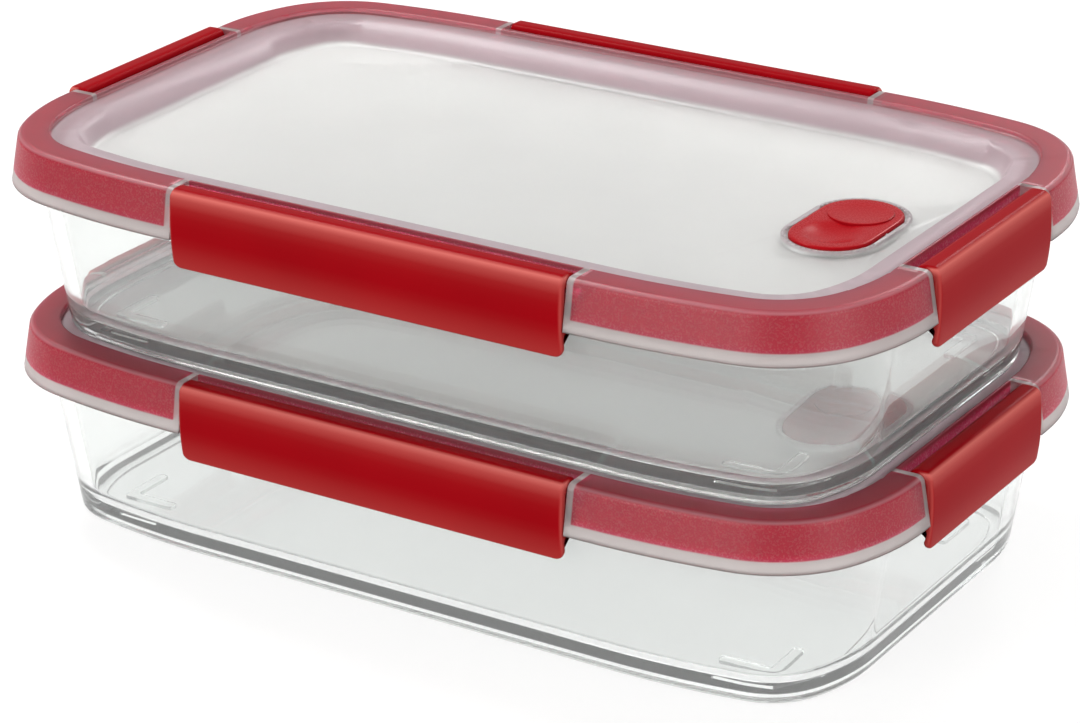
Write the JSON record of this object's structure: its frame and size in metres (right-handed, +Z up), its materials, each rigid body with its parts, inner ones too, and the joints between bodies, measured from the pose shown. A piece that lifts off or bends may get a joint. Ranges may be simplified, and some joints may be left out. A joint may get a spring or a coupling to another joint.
{
  "type": "stacked lunch box",
  "caption": "Stack of rectangular glass lunch boxes, each with a frosted lid, red seal, hinged side latches and a rocking steam vent.",
  "frame": {"origin": "middle of the lower dish's foot, on the surface that it stands on", "axes": "+X along the long side towards the vents, +Y across to the back, +Z up"},
  "size_m": [0.298, 0.188, 0.1229],
  "materials": {
    "clear_glass": "pressed clear",
    "frosted_lid": "frosted natural polypropylene",
    "seal_red": "matt silicone",
    "latch_red": "satin moulded",
    "vent_red": "gloss moulded",
    "pin_steel": "drawn wire"
  },
  "bodies": {
    "lower_dish": {"lower_dish": "clear_glass"},
    "lower_lid": {"lower_lid": "frosted_lid", "lower_seal": "seal_red", "lower_vent_pin": "pin_steel", "lower_front_hinge_pin": "pin_steel", "lower_back_hinge_pin": "pin_steel", "lower_left_hinge_pin": "pin_steel", "lower_right_hinge_pin": "pin_steel"},
    "lower_vent_button": {"lower_vent_button": "vent_red", "lower_vent_plug": "seal_red"},
    "lower_front_latch": {"lower_front_latch": "latch_red"},
    "lower_back_latch": {"lower_back_latch": "latch_red"},
    "lower_left_latch": {"lower_left_latch": "latch_red"},
    "lower_right_latch": {"lower_right_latch": "latch_red"},
    "upper_dish": {"upper_dish": "clear_glass"},
    "upper_lid": {"upper_lid": "frosted_lid", "upper_seal": "seal_red", "upper_vent_pin": "pin_steel", "upper_front_hinge_pin": "pin_steel", "upper_back_hinge_pin": "pin_steel", "upper_left_hinge_pin": "pin_steel", "upper_right_hinge_pin": "pin_steel"},
    "upper_vent_button": {"upper_vent_button": "vent_red", "upper_vent_plug": "seal_red"},
    "upper_front_latch": {"upper_front_latch": "latch_red"},
    "upper_back_latch": {"upper_back_latch": "latch_red"},
    "upper_left_latch": {"upper_left_latch": "latch_red"},
    "upper_right_latch": {"upper_right_latch": "latch_red"}
  },
  "joints": [
    {"name": "lower_lid_lift", "type": "slide", "parent": "lower_dish", "child": "lower_lid", "axis": [0, 0, 1], "range_m": [0, 0.02]},
    {"name": "lower_front_latch_swing", "type": "hinge", "parent": "lower_lid", "child": "lower_front_latch", "pos_m": [0, -0.0885, 0.0601], "axis": [-1, 0, 0], "range_deg": [0, 75]},
    {"name": "lower_back_latch_swing", "type": "hinge", "parent": "lower_lid", "child": "lower_back_latch", "pos_m": [0, 0.0885, 0.0601], "axis": [1, 0, 0], "range_deg": [0, 75]},
    {"name": "lower_left_latch_swing", "type": "hinge", "parent": "lower_lid", "child": "lower_left_latch", "pos_m": [-0.1435, 0, 0.0601], "axis": [0, 1, 0], "range_deg": [0, 75]},
    {"name": "lower_right_latch_swing", "type": "hinge", "parent": "lower_lid", "child": "lower_right_latch", "pos_m": [0.1435, 0, 0.0601], "axis": [0, -1, 0], "range_deg": [0, 75]},
    {"name": "lower_vent_rock", "type": "hinge", "parent": "lower_lid", "child": "lower_vent_button", "pos_m": [0.102, 0, 0.0536], "axis": [1, 0, 0], "range_deg": [0, 7]},
    {"name": "upper_dish_lift", "type": "slide", "parent": "lower_lid", "child": "upper_dish", "axis": [0, 0, 1], "range_m": [0, 0.03]},
    {"name": "upper_lid_lift", "type": "slide", "parent": "upper_dish", "child": "upper_lid", "axis": [0, 0, 1], "range_m": [0, 0.02]},
    {"name": "upper_front_latch_swing", "type": "hinge", "parent": "upper_lid", "child": "upper_front_latch", "pos_m": [0, -0.0885, 0.12035], "axis": [-1, 0, 0], "range_deg": [0, 75]},
    {"name": "upper_back_latch_swing", "type": "hinge", "parent": "upper_lid", "child": "upper_back_latch", "pos_m": [0, 0.0885, 0.12035], "axis": [1, 0, 0], "range_deg": [0, 75]},
    {"name": "upper_left_latch_swing", "type": "hinge", "parent": "upper_lid", "child": "upper_left_latch", "pos_m": [-0.1435, 0, 0.12035], "axis": [0, 1, 0], "range_deg": [0, 75]},
    {"name": "upper_right_latch_swing", "type": "hinge", "parent": "upper_lid", "child": "upper_right_latch", "pos_m": [0.1435, 0, 0.12035], "axis": [0, -1, 0], "range_deg": [0, 75]},
    {"name": "upper_vent_rock", "type": "hinge", "parent": "upper_lid", "child": "upper_vent_button", "pos_m": [0.102, 0, 0.11385], "axis": [1, 0, 0], "range_deg": [0, 7]}
  ],
  "couplings": [
    {"joint": "lower_front_latch_swing", "follows": "lower_lid_lift", "rad_per_m": 65.45},
    {"joint": "lower_back_latch_swing", "follows": "lower_lid_lift", "rad_per_m": 65.45},
    {"joint": "lower_left_latch_swing", "follows": "lower_lid_lift", "rad_per_m": 65.45},
    {"joint": "lower_right_latch_swing", "follows": "lower_lid_lift", "rad_per_m": 65.45},
    {"joint": "upper_front_latch_swing", "follows": "upper_lid_lift", "rad_per_m": 65.45},
    {"joint": "upper_back_latch_swing", "follows": "upper_lid_lift", "rad_per_m": 65.45},
    {"joint": "upper_left_latch_swing", "follows": "upper_lid_lift", "rad_per_m": 65.45},
    {"joint": "upper_right_latch_swing", "follows": "upper_lid_lift", "rad_per_m": 65.45}
  ]
}
